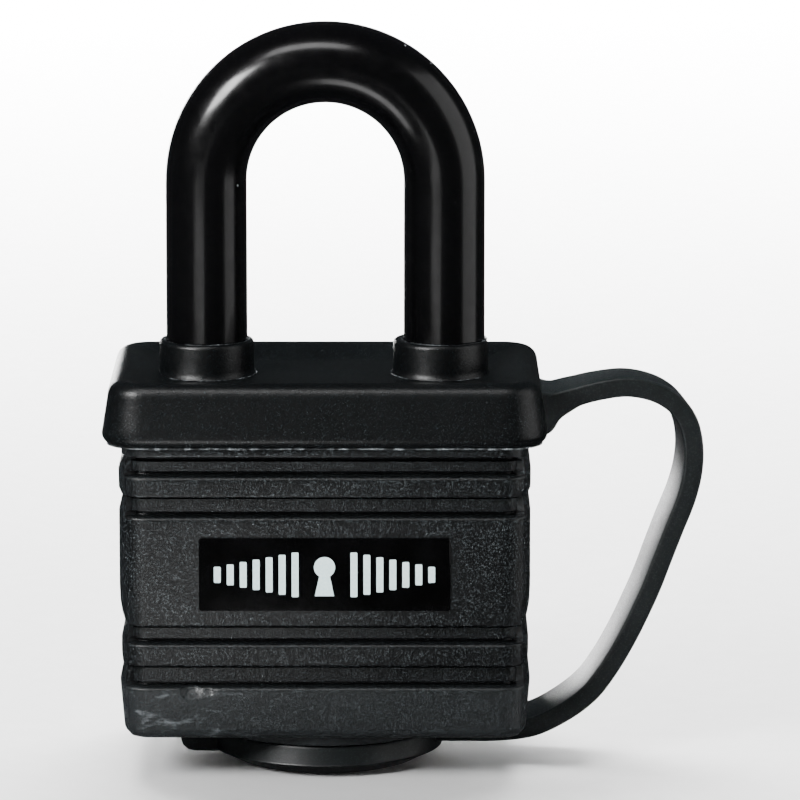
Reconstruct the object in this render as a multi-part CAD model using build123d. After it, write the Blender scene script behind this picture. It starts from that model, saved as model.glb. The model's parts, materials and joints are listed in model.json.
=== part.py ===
from build123d import *
import os

# A laminated steel padlock in a weatherproof moulded jacket. Millimetres, +Z up along the shackle,
# +X towards the strap, front face towards -Y. z = 0 is the keyway cover's flat bottom face.
# The lock is stored closed with its key turned: the plug is a quarter turn from its locked place,
# the levers are drawn in and every pin stack parts at the shear line.

# ---------------------------------------------------------------- driving dimensions

# Jacket: outline, and the heights where its raised bands and grooves meet
jacket_half_width = 20.5
jacket_half_depth = 13.0
jacket_corner = 2.8
jacket_bottom = 4.4
jacket_top = 33.75
groove_spans = [(9.65, 11.8), (14.05, 15.85), (26.85, 28.85), (30.9, 32.85)]
groove_depth = 0.9
groove_wrap = 9.5
groove_corner = 2.2
slit_depth = 1.5
slit_height = 0.45
side_pad = 0.9
side_notch = 0.5
side_notch_height = 1.6
foot_round = 0.8
neck_height = 2.4
neck_side = 1.6
neck_corner = 2.0
boss_radius = 12.0
boss_height = 1.0
keyhole_radius = 7.5

# Top cap
cap_half_width = 22.15
cap_half_depth = 14.0
cap_corner = 3.4
cap_top = 40.15
cap_taper = 7.0
cap_top_round = 1.2
cap_bottom_round = 0.9
dish_depth = 1.1
dish_inset = 4.8
dish_slope = 60.0
collar_radius = 4.75
collar_top = 42.55
collar_bore = 4.13

# Shackle
leg_spacing = 23.76
rod_radius = 3.55
coated_radius = 4.05
arch_centre = 58.55
leg_end_chamfer = 0.6
coating_end = 39.4
heel_end = 12.4
toe_end = 29.0
shackle_lift = 14.0
leg_bore = 3.62
toe_bore_spare = 0.3
shackle_spring_radius = 2.9
shackle_spring_wire = 0.35
shackle_spring_turns = 5

# Body plates
plate_count = 16
plate_pitch = 1.94
stack_bottom = 6.0
stack_half_width = 17.6
stack_half_depth = 10.6
stack_corner = 2.0
plate_edge = 0.15
rivet_x = 15.0
rivet_y = 8.0
rivet_radius = 1.2
rivet_head_radius = 1.9
rivet_head_height = 0.8

# Locking levers, plate numbers counted from the bottom
heel_lever_plate = 12
toe_lever_plate = 13
lever_thickness = 1.7
lever_play = 0.1
lever_corner = 0.6
lever_half_width = 5.2
lever_nose_half_width = 2.4
lever_nose_reach = 8.05
lever_nose_length = 1.6
lever_tail_reach = 6.0
lever_travel = 1.5
lever_window_x = 4.05
lever_window_y = 3.95
notch_spare = 0.25
notch_play = 0.15
lever_spring_y = 4.25
lever_spring_length = 3.9
lever_spring_radius = 0.66
lever_spring_wire = 0.2
lever_spring_turns = 5
lever_spring_pocket = 0.75
lever_spring_play = 0.05

# Cam
cam_reach = 3.7
cam_round = 1.7
cam_play = 0.15
cam_roof = 0.8

# Cylinder
plug_radius = 4.75
plug_bore = 4.8
plug_face = 5.7
plug_flange_radius = 5.5
housing_radius = 6.4
housing_bar_half_width = 2.6
housing_bar_back = 9.75
chamber_count = 4
first_chamber = 9.9
chamber_pitch = 3.96
pin_radius = 1.4
pin_tip_radius = 0.4
pin_tip_height = 0.9
chamber_radius = 1.45
chamber_length = 6.0
driver_length = 2.05
key_pin_lengths = [2.1, 3.0, 2.5, 3.3]
key_pin_top = 4.45
chamber_cover_thickness = 0.65
chamber_cover_half_width = 1.9
chamber_cover_overlap = 2.2
pin_spring_radius = 1.2
pin_spring_wire = 0.17
pin_spring_turns = 4
clip_height = 0.7
clip_groove_height = 0.85
clip_groove_depth = 0.5
clip_below_top = 1.6
clip_radius = 5.6
clip_gap = 2.6
clip_room = 0.2
plug_flange_top = 0.7
keyway_half_width = 0.9
keyway_reach = (-3.2, 3.9)
keyway_below_clip = 1.2
ward_reach = (-1.4, 0.4)
ward_depth = 1.2
tongue_half_width = 1.2
tongue_half_thickness = 0.7
tongue_height = 2.4
tongue_play = 0.1

# Keyway cover and strap
cover_radius = 11.7
cover_floor_radius = 9.2
cover_chamfer_top = 1.2
cover_edge_step = 0.3
cover_top = 3.35
cover_plug_radius = 6.9
cover_plug_top = 5.3
tab_reach = 14.7
tab_half_width = 4.0
tab_round = 1.2
ear_reach = 14.8
strap_half_width = 3.7
strap_thickness = 1.9
strap_root_thickness = 2.6
strap_root_share = 0.12
strap_root_sink = 0.45
strap_level = 2.9
strap_end = 16.5

# Label on the front panel
label_width = 24.8
label_height = 7.3
label_thickness = 0.2
label_corner = 0.3
label_middle = 21.15

clearance = 0.05
past = 30.0  # how far a cutter runs past what it cuts
overlap = 0.5  # how far joined shapes run into each other

# ---------------------------------------------------------------- worked out from them

leg_x = leg_spacing / 2
notch_flat = lever_nose_reach + lever_travel + notch_spare
stack_top = stack_bottom + plate_count * plate_pitch
cylinder_top = stack_bottom + heel_lever_plate * plate_pitch
chamber_heights = [first_chamber + i * chamber_pitch for i in range(chamber_count)]
cap_roof = stack_top + 0.1


def plate_floor(number):
    """Height of the underside of a body plate."""
    return stack_bottom + number * plate_pitch


def block(half_width, half_depth, corner, low, high):
    """Upright block with rounded corners between two heights."""
    outline = RectangleRounded(2 * half_width, 2 * half_depth, corner)
    return extrude(Pos(0, 0, low) * outline, amount=high - low)


def rod(radius, low, high, x=0.0, y=0.0):
    """Upright round bar between two heights."""
    return extrude(Pos(x, y, low) * Circle(radius), amount=high - low)


def box(x_span, y_span, z_span):
    """Plain box from three spans."""
    size = [b - a for a, b in (x_span, y_span, z_span)]
    middle = [(a + b) / 2 for a, b in (x_span, y_span, z_span)]
    return Pos(*middle) * Box(*size)


def coil(radius, wire, length, turns):
    """Helical spring on +Z from the origin, with its ends inside the stated length."""
    rise = length - 2 * wire
    path = Pos(0, 0, wire) * Helix(pitch=rise / turns, height=rise, radius=radius - wire)
    section = Plane(path @ 0, z_dir=path % 0) * Circle(wire)
    return sweep(section, path=path, is_frenet=True)


# ---------------------------------------------------------------- moulded outer pieces

def groove_cutter(low, high, depth):
    """What a groove takes off the front and back faces and round their corners."""
    core_half_width = jacket_half_width - side_pad
    blank = box((-core_half_width, core_half_width), (-past, past), (low, high))
    core = block(core_half_width, jacket_half_depth - depth, groove_corner, low, high)
    side_keep = box((-past, past), (-groove_wrap, groove_wrap), (low, high))
    return blank - core - side_keep


def side_notch_cutter(top):
    """Wedge under the raised band on both side faces: a sharp step in, then a slope back out."""
    outer = jacket_half_width
    cutters = []
    for side in (-1, 1):
        corners = [
            (side * (outer - side_notch), top),
            (side * (outer + 1), top),
            (side * (outer + 1), top - side_notch_height),
            (side * outer, top - side_notch_height),
        ]
        wedge = make_face(Polyline(*corners, close=True))
        cutters.append(extrude(Plane.XZ * wedge, amount=past, both=True))
    return cutters


def body_jacket():
    """Hard jacket: banded outside, open at the top, with a keyhole boss underneath."""
    shell = block(jacket_half_width, jacket_half_depth, jacket_corner, jacket_bottom, jacket_top)
    foot = shell.edges().filter_by_position(Axis.Z, jacket_bottom - 0.01, jacket_bottom + 0.01)
    shell = fillet(foot, foot_round)
    shell += block(
        jacket_half_width - neck_side,
        jacket_half_depth - neck_side,
        neck_corner,
        jacket_top - overlap,
        jacket_top + neck_height,
    )
    shell += rod(boss_radius, jacket_bottom - boss_height, jacket_bottom + overlap)
    for low, high in groove_spans:
        shell -= groove_cutter(low, high, groove_depth)
        shell -= groove_cutter(low, low + slit_height, slit_depth)
        for cutter in side_notch_cutter(high):
            shell -= cutter
    shell -= block(
        stack_half_width + clearance,
        stack_half_depth + clearance,
        stack_corner,
        stack_bottom - clearance,
        jacket_top + neck_height + overlap,
    )
    shell -= rod(keyhole_radius, 0, stack_bottom + overlap)
    return shell


def top_cap():
    """Soft cap: tapered block with a dished top, two collars and a pocket for the body."""
    outline = RectangleRounded(2 * cap_half_width, 2 * cap_half_depth, cap_corner)
    cap = extrude(Pos(0, 0, jacket_top) * outline, amount=cap_top - jacket_top, taper=cap_taper)
    rim = cap.edges().filter_by_position(Axis.Z, cap_top - 0.01, cap_top + 0.01)
    cap = fillet(rim, cap_top_round)
    skirt = cap.edges().filter_by_position(Axis.Z, jacket_top - 0.01, jacket_top + 0.01)
    cap = fillet(skirt, cap_bottom_round)

    dish_floor = cap_top - dish_depth
    dish_outline = RectangleRounded(
        2 * (cap_half_width - dish_inset),
        2 * (cap_half_depth - dish_inset),
        cap_corner,
    )
    cap -= extrude(Pos(0, 0, dish_floor) * dish_outline, amount=dish_depth + 1, taper=-dish_slope)
    for x in (-leg_x, leg_x):
        cap += rod(collar_radius, dish_floor - overlap, collar_top, x)
    for x in (-leg_x, leg_x):
        cap -= rod(collar_bore, cap_roof - overlap, collar_top + overlap, x)
    cap -= block(
        jacket_half_width - neck_side + clearance,
        jacket_half_depth - neck_side + clearance,
        neck_corner,
        jacket_top - overlap,
        cap_roof,
    )
    return cap


def strap_side(centreline, root_offset, offset):
    """One long edge of the strap's profile, thicker at the cap than along the rest."""
    points = []
    steps = 24
    for i in range(steps + 1):
        along = i / steps
        blend = max(0.0, 1 - along / strap_root_share)
        tangent = centreline % along
        normal = Vector(-tangent.Y, tangent.X)
        points.append((centreline @ along) + normal * (offset + (root_offset - offset) * blend))
    return Spline(*points)


def retaining_strap():
    """Flat strap that leaves the cap's side, loops out and runs in under the body."""
    root = cap_half_width - strap_root_sink
    centreline = Spline(
        (root, 35.95),
        (25.1, 37.2),
        (30.2, 38.05),
        (35.0, 36.45),
        (36.9, 32.15),
        (34.8, 24.05),
        (31.1, 15.0),
        (26.3, 6.9),
        (20.8, 3.45),
        (strap_end, strap_level),
    )
    upper = strap_side(centreline, strap_root_thickness / 2, strap_thickness / 2)
    lower = strap_side(centreline, -strap_root_thickness / 2, -strap_thickness / 2)
    profile = make_face(
        [upper, lower, Line(upper @ 0, lower @ 0), Line(upper @ 1, lower @ 1)]
    )
    return extrude(Plane.XZ * profile, amount=strap_half_width, both=True)


def keyway_cover():
    """Round cover under the keyway, with a plug, a pull tab and the ear that meets the strap."""
    cover = rod(cover_radius, cover_chamfer_top, cover_top)
    cone = Cone(
        cover_floor_radius,
        cover_radius - cover_edge_step,
        cover_chamfer_top,
        align=(Align.CENTER, Align.CENTER, Align.MIN),
    )
    cover += cone
    tab = box((-tab_reach, 0), (-tab_half_width, tab_half_width), (cover_chamfer_top, cover_top))
    tab_corners = tab.edges().filter_by(Axis.Y).sort_by(Axis.X)[:2].sort_by(Axis.Z)
    cover += fillet(tab_corners[0], tab_round)
    ear_low = strap_level - strap_thickness / 2
    cover += box((0, ear_reach), (-strap_half_width, strap_half_width), (ear_low, cover_top))
    cover += rod(cover_plug_radius, cover_top - overlap, cover_plug_top)
    return cover


def front_label():
    """Thin label on the middle of the front panel."""
    outline = RectangleRounded(label_width, label_height, label_corner)
    face = Plane.XZ.offset(jacket_half_depth) * Pos(0, label_middle) * outline
    return extrude(face, amount=label_thickness)


# ---------------------------------------------------------------- steel body

def lever_cavity(number):
    """Space in a plate for its lever, the nose's travel towards -X and the lever's spring."""
    z_span = (plate_floor(number), plate_floor(number + 1))
    side = lever_half_width + lever_play
    nose_side = lever_nose_half_width + lever_play
    nose_end = lever_nose_reach + lever_travel + lever_play
    room = box((-lever_nose_reach - overlap, lever_tail_reach + lever_play), (-side, side), z_span)
    room += box((-nose_end, 0), (-nose_side, nose_side), z_span)
    pocket_x = (lever_tail_reach, lever_tail_reach + lever_spring_length)
    pocket_y = (lever_spring_y - lever_spring_pocket, lever_spring_y + lever_spring_pocket)
    return room + box(pocket_x, pocket_y, z_span)


def cylinder_outline(extra):
    """The housing's outline: a round barrel and the bar that holds the pin chambers."""
    bar_half_width = housing_bar_half_width + extra
    bar = Rectangle(2 * bar_half_width, housing_bar_back + extra, align=(Align.CENTER, Align.MIN))
    return Circle(housing_radius + extra) + bar


def lamination(number):
    """One body plate, cut for whatever passes through it."""
    low, high = plate_floor(number), plate_floor(number + 1)
    plate = block(stack_half_width, stack_half_depth, stack_corner, low, high)
    plate = chamfer(plate.edges().filter_by(Axis.Z, reverse=True).group_by(Axis.Z)[0], plate_edge)
    if number > 0:
        plate -= rod(leg_bore, low, high, leg_x)
    if high > toe_end - toe_bore_spare:
        plate -= rod(leg_bore, low, high, -leg_x)
    if number < heel_lever_plate:
        plate -= extrude(Pos(0, 0, low) * cylinder_outline(clearance), amount=plate_pitch)
    if number == toe_lever_plate:
        plate -= lever_cavity(number)
    if number == heel_lever_plate:
        plate -= lever_cavity(number).mirror(Plane.YZ)
    for x in (-rivet_x, rivet_x):
        for y in (-rivet_y, rivet_y):
            plate -= rod(rivet_radius + clearance, low, high, x, y)
            if number == 0:
                plate -= rod(rivet_head_radius + clearance, low, low + rivet_head_height, x, y)
            if number == plate_count - 1:
                plate -= rod(rivet_head_radius + clearance, high - rivet_head_height, high, x, y)
    return plate


def body_rivets():
    """Four rivets with flat heads let into the end plates."""
    rivets = []
    for x in (-rivet_x, rivet_x):
        for y in (-rivet_y, rivet_y):
            rivet = rod(rivet_radius, stack_bottom, stack_top, x, y)
            rivet += rod(rivet_head_radius, stack_bottom, stack_bottom + rivet_head_height, x, y)
            rivet += rod(rivet_head_radius, stack_top - rivet_head_height, stack_top, x, y)
            rivets.append(rivet)
    return Compound(children=rivets)


# ---------------------------------------------------------------- shackle

def bent_bar(radius, heel_low, toe_low):
    """Round bar bent into the shackle's U, with legs down to two heights."""
    path = Line((leg_x, 0, heel_low), (leg_x, 0, arch_centre))
    path += ThreePointArc((leg_x, 0, arch_centre), (0, 0, arch_centre + leg_x), (-leg_x, 0, arch_centre))
    path += Line((-leg_x, 0, arch_centre), (-leg_x, 0, toe_low))
    section = Pos(leg_x, 0, heel_low) * Circle(radius)
    return sweep(section, path=path)


def notch_cutter(number, side):
    """Flat notch in a leg, where a lever's nose goes in."""
    low = plate_floor(number) - notch_play
    high = plate_floor(number + 1) + notch_play
    x_span = sorted((0, side * notch_flat))
    return box(x_span, (-past, past), (low, high))


def shackle():
    """Steel rod with a notch in each leg and a turned groove low on the heel leg."""
    bar = bent_bar(rod_radius, heel_end, toe_end)
    ends = bar.faces().filter_by(GeomType.PLANE).edges()
    bar = chamfer(ends, leg_end_chamfer)
    bar -= notch_cutter(toe_lever_plate, -1)
    bar -= notch_cutter(heel_lever_plate, 1)
    groove_low = plate_floor(heel_lever_plate) - shackle_lift - notch_play
    groove_high = groove_low + plate_pitch + 2 * notch_play
    ring = rod(rod_radius + 1, groove_low, groove_high, leg_x)
    ring -= rod(leg_x - notch_flat, groove_low, groove_high, leg_x)
    return bar - ring


def shackle_sleeve():
    """Coating on the exposed part of the rod."""
    outer = bent_bar(coated_radius, coating_end, coating_end)
    inner = bent_bar(rod_radius + 0.02, coating_end - 1, coating_end - 1)
    return outer - inner


def shackle_spring():
    """Compressed coil between the heel bore's floor and the heel leg's end."""
    floor = plate_floor(1)
    spring = coil(shackle_spring_radius, shackle_spring_wire, heel_end - floor, shackle_spring_turns)
    return Pos(leg_x, 0, floor) * spring


# ---------------------------------------------------------------- levers and cam

def locking_lever(number):
    """Flat lever whose nose points to -X, with a window round the cam."""
    low = plate_floor(number) + lever_play
    high = low + lever_thickness
    shoulder = lever_nose_reach - lever_nose_length
    lever = box((-shoulder, lever_tail_reach), (-lever_half_width, lever_half_width), (low, high))
    corners = lever.edges().filter_by(Axis.Z)
    lever = fillet(corners, lever_corner)
    nose = (-lever_nose_half_width, lever_nose_half_width)
    lever += box((-lever_nose_reach, 0), nose, (low, high))
    lever -= box((-lever_window_x, lever_window_x), (-lever_window_y, lever_window_y), (low, high))
    return lever


def lever_spring(number):
    """Coil behind a lever's tail."""
    middle = plate_floor(number) + plate_pitch / 2
    length = lever_spring_length - 2 * lever_spring_play
    spring = coil(lever_spring_radius, lever_spring_wire, length, lever_spring_turns)
    place = Pos(lever_tail_reach + lever_spring_play, lever_spring_y, middle) * Rot(0, 90, 0)
    return place * spring


def cam():
    """Two-ended cam that stands between the levers' tails."""
    low = cylinder_top + cam_play
    high = plate_floor(toe_lever_plate + 1) - cam_play
    outline = SlotCenterToCenter(2 * (cam_reach - cam_round), 2 * cam_round)
    body = extrude(Pos(0, 0, low) * outline, amount=high - low)
    slot_x = tongue_half_width + tongue_play
    slot_y = tongue_half_thickness + tongue_play
    body -= box((-slot_x, slot_x), (-slot_y, slot_y), (low, high - cam_roof))
    return body


# ---------------------------------------------------------------- cylinder

def cylinder_housing():
    """Housing: barrel bore for the plug and four pin chambers in the bar at the back."""
    height = cylinder_top - stack_bottom
    housing = extrude(Pos(0, 0, stack_bottom) * cylinder_outline(0), amount=height)
    housing -= rod(plug_bore, stack_bottom, cylinder_top)
    flange_room = plug_flange_top + 2 * clearance
    housing -= rod(plug_flange_radius + clearance, stack_bottom, stack_bottom + flange_room)
    clip_room_floor = cylinder_top - clip_below_top - 2 * clearance
    housing -= rod(clip_radius + clip_room, clip_room_floor, cylinder_top)
    for z in chamber_heights:
        chamber = Cylinder(chamber_radius, chamber_length, align=(Align.CENTER, Align.CENTER, Align.MIN))
        housing -= Pos(0, plug_bore - overlap, z) * Rot(-90, 0, 0) * chamber
    housing -= cover_space()
    return housing


def cover_space():
    """The slot along the back of the bar that the chamber cover fills."""
    y_span = (housing_bar_back - chamber_cover_thickness, housing_bar_back)
    x_span = (-chamber_cover_half_width, chamber_cover_half_width)
    z_span = (chamber_heights[0] - chamber_cover_overlap, chamber_heights[-1] + chamber_cover_overlap)
    return box(x_span, y_span, z_span)


def key_plug():
    """Plug with a flange at its face, a keyway, four pin bores and a tongue for the cam."""
    plug = rod(plug_radius, plug_face, cylinder_top)
    plug += rod(plug_flange_radius, plug_face, stack_bottom + plug_flange_top)
    clip_floor = cylinder_top - clip_below_top
    clip_ceiling = clip_floor + clip_groove_height
    ring = rod(plug_radius + 1, clip_floor, clip_ceiling)
    ring -= rod(plug_radius - clip_groove_depth, clip_floor, clip_ceiling)
    plug -= ring
    plug += box(
        (-tongue_half_width, tongue_half_width),
        (-tongue_half_thickness, tongue_half_thickness),
        (cylinder_top, cylinder_top + tongue_height),
    )
    keyway_end = clip_floor - keyway_below_clip
    plug -= box(keyway_reach, (-keyway_half_width / 2, keyway_half_width), (plug_face, keyway_end))
    plug -= box(ward_reach, (-ward_depth, 0), (plug_face, keyway_end))
    for z in chamber_heights:
        bore = Cylinder(chamber_radius, chamber_length, align=(Align.CENTER, Align.CENTER, Align.MIN))
        plug -= Pos(0, 0, z) * Rot(0, -90, 0) * bore
    return plug


def key_pin(index):
    """Key pin in the turned plug: flush with the shear line, with a cone at its key end."""
    shank = key_pin_lengths[index] - pin_tip_height
    body = Cylinder(pin_radius, shank, align=(Align.CENTER, Align.CENTER, Align.MIN))
    tip = Cone(pin_tip_radius, pin_radius, pin_tip_height, align=(Align.CENTER, Align.CENTER, Align.MAX))
    pin = body + tip
    return Pos(shank - key_pin_top, 0, chamber_heights[index]) * Rot(0, -90, 0) * pin


def driver_pin(index):
    """Driver pin in its chamber, just clear of the plug."""
    body = Cylinder(pin_radius, driver_length, align=(Align.CENTER, Align.CENTER, Align.MIN))
    return Pos(0, plug_bore + clearance, chamber_heights[index]) * Rot(-90, 0, 0) * body


def pin_spring(index):
    """Coil between a driver pin and the chamber cover."""
    start = plug_bore + clearance + driver_length
    length = housing_bar_back - chamber_cover_thickness - start
    spring = coil(pin_spring_radius, pin_spring_wire, length, pin_spring_turns)
    return Pos(0, start, chamber_heights[index]) * Rot(-90, 0, 0) * spring


def plug_clip():
    """Open ring in the plug's groove, which keeps the plug in its housing."""
    low = cylinder_top - clip_below_top + clearance
    ring = rod(clip_radius, low, low + clip_height)
    ring -= rod(plug_radius - clip_groove_depth + clearance, low, low + clip_height)
    return ring - box((0, past), (-clip_gap, clip_gap), (low, low + clip_height))


# ---------------------------------------------------------------- write every piece

def pieces():
    """Every separate piece, by name."""
    cap = top_cap()
    made = {
        "body_jacket": body_jacket(),
        "top_cap": cap,
        "retaining_strap": retaining_strap() - cap,
        "keyway_cover": keyway_cover(),
        "front_label": front_label(),
        "body_rivets": body_rivets(),
        "shackle": shackle(),
        "shackle_sleeve": shackle_sleeve(),
        "shackle_spring": shackle_spring(),
        "toe_lever": locking_lever(toe_lever_plate),
        "heel_lever": locking_lever(heel_lever_plate).mirror(Plane.YZ),
        "toe_lever_spring": lever_spring(toe_lever_plate),
        "heel_lever_spring": lever_spring(heel_lever_plate).mirror(Plane.YZ),
        "cam": cam(),
        "cylinder_housing": cylinder_housing(),
        "chamber_cover": cover_space(),
        "key_plug": key_plug(),
        "plug_clip": plug_clip(),
    }
    for number in range(plate_count):
        made[f"lamination_{number + 1:02d}"] = lamination(number)
    for index in range(chamber_count):
        made[f"key_pin_{index + 1}"] = key_pin(index)
        made[f"driver_pin_{index + 1}"] = driver_pin(index)
        made[f"pin_spring_{index + 1}"] = pin_spring(index)
    return made


os.makedirs("parts", exist_ok=True)
for name, solid in pieces().items():
    export_step(solid, f"parts/{name}.step")
    print(name, round(solid.volume, 2))
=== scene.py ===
import json
import math
import random

import bmesh
import bpy
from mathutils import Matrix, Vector


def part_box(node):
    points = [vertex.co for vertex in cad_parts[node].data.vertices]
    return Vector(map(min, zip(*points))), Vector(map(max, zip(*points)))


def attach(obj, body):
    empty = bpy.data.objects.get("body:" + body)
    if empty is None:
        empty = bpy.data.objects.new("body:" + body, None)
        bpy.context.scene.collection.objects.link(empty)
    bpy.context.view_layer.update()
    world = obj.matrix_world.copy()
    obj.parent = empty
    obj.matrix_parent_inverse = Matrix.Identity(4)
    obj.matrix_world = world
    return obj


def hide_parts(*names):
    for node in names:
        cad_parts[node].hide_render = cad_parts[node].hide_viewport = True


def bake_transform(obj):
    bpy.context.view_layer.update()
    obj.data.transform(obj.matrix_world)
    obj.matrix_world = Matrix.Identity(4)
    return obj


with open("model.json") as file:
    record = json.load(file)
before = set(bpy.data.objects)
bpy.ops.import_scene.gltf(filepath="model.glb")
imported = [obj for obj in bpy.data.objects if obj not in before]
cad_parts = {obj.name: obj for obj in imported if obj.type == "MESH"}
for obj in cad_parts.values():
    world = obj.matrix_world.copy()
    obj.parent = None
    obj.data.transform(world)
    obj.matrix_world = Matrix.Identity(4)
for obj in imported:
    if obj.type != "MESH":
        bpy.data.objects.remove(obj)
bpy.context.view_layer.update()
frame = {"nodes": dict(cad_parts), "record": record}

# A laminated padlock in a black moulded jacket, with a coated shackle, a soft top cap and a keyway
# cover on a strap. Lengths below are millimetres; mm() turns them to the scene's metres.


def mm(value):
    return value * 0.001


def box_mm(node):
    """A node's lowest and highest corners in millimetres."""
    low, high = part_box(node)
    return [c * 1000 for c in low], [c * 1000 for c in high]


# ---------------------------------------------------------------- sizes taken from the frame

jacket_low, jacket_high = box_mm("body_jacket")
cap_low, cap_high = box_mm("top_cap")
cover_low, cover_high = box_mm("keyway_cover")
sleeve_low, sleeve_high = box_mm("shackle_sleeve")
label_low, label_high = box_mm("front_label")
stack_low, stack_high = box_mm("lamination_01")
stack_top = box_mm("lamination_16")[1][2]

coated_radius = (sleeve_high[1] - sleeve_low[1]) / 2
leg_x = sleeve_high[0] - coated_radius
arch_centre = sleeve_high[2] - coated_radius - leg_x
boss_floor = jacket_low[2]
boss_step = 1.0  # how far the keyhole's boss stands below the jacket's foot
jacket_foot = boss_floor + boss_step
cap_foot = cap_low[2]
collar_top = cap_high[2]

# Heights where the jacket's raised bands and grooves meet
grooves = [(9.65, 11.8), (14.05, 15.85), (26.85, 28.85), (30.9, 32.85)]


# ---------------------------------------------------------------- materials

def linear(code):
    """sRGB hex to linear red, green, blue and full alpha."""
    values = [int(code[i:i + 2], 16) / 255 for i in (1, 3, 5)]
    return [v / 12.92 if v <= 0.04045 else ((v + 0.055) / 1.055) ** 2.4 for v in values] + [1.0]


def add(tree, kind, settings=None, links=None, out=0):
    """Adds a node, sets its properties and sockets, links its sockets, and returns one output.

    A key is a property's or socket's name, or a socket's number. A hex code is a colour.
    """
    node = tree.nodes.new(kind)
    for key, value in (settings or {}).items():
        if isinstance(key, str) and hasattr(node, key):
            setattr(node, key, value)
        else:
            is_colour = isinstance(value, str) and value.startswith("#")
            node.inputs[key].default_value = linear(value) if is_colour else value
    for key, source in (links or {}).items():
        tree.links.new(source, node.inputs[key])
    return node.outputs[out]


def new_material(name, **uniform):
    """A material with its shader, its even values set, and coordinates in millimetres."""
    material = bpy.data.materials.new(name)
    material.use_nodes = True
    tree = material.node_tree
    shader = tree.nodes["Principled BSDF"]
    for socket, value in uniform.items():
        shader.inputs[socket.replace("_", " ")].default_value = value
    place = add(tree, "ShaderNodeTexCoord", out="Object")
    where = add(tree, "ShaderNodeVectorMath", {"operation": "SCALE", "Scale": 1000}, {0: place})
    return material, tree, shader, where


def wire(tree, shader, **sources):
    """Links outputs to the shader's sockets."""
    for socket, source in sources.items():
        tree.links.new(source, shader.inputs[socket.replace("_", " ")])


def grained_plastic(name, dark, light, pit_glint_colour, rough, grain, depth):
    """Black plastic from a spark-eroded mould: fine pits that break its sheen, with their glints painted
    into the colour as grey specks.

    Real pits are about 0.05 mm across, too fine to show, so grain draws them three times as coarse.
    """
    cloud_size, ripple_size = 9, 5 * grain
    material, tree, shader, where = new_material(name, IOR=1.5)
    pits = add(
        tree,
        "ShaderNodeTexNoise",
        {"Scale": 1 / grain, "Detail": 3.0, "Roughness": 0.7},
        {"Vector": where},
    )
    ripple = add(
        tree, "ShaderNodeTexNoise", {"Scale": 1 / ripple_size, "Detail": 2.0}, {"Vector": where}
    )
    cloud = add(
        tree,
        "ShaderNodeTexNoise",
        {"Scale": 1 / cloud_size, "Detail": 4.0, "Roughness": 0.6},
        {"Vector": where},
    )
    shade = add(
        tree, "ShaderNodeMapRange", {"From Min": 0.35, "From Max": 0.7}, {"Value": cloud}
    )
    body = add(
        tree,
        "ShaderNodeMix",
        {"data_type": "RGBA", 6: dark, 7: light},
        {"Factor": shade},
        out=2,
    )
    # Painted highlights: pale grey flecks mixed into the colour on the pits stand in for glints of light
    # off the grain
    painted_pit_glints = add(
        tree,
        "ShaderNodeMapRange",
        {"From Min": 0.53, "From Max": 0.68, "To Max": 0.9},
        {"Value": pits},
    )
    with_painted_glints = add(
        tree,
        "ShaderNodeMix",
        {"data_type": "RGBA", 7: pit_glint_colour},
        {"Factor": painted_pit_glints, 6: body},
        out=2,
    )
    spread = add(
        tree,
        "ShaderNodeMapRange",
        {"From Min": 0.3, "From Max": 0.7, "To Min": rough + 0.12, "To Max": rough - 0.08},
        {"Value": pits},
    )
    swell = add(
        tree, "ShaderNodeBump", {"Distance": mm(2 * depth), "Strength": 0.5}, {"Height": ripple}
    )
    relief = add(
        tree, "ShaderNodeBump", {"Distance": mm(depth)}, {"Height": pits, "Normal": swell}
    )
    wire(tree, shader, Base_Color=with_painted_glints, Roughness=spread, Normal=relief)
    return material, tree, shader, where


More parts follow.
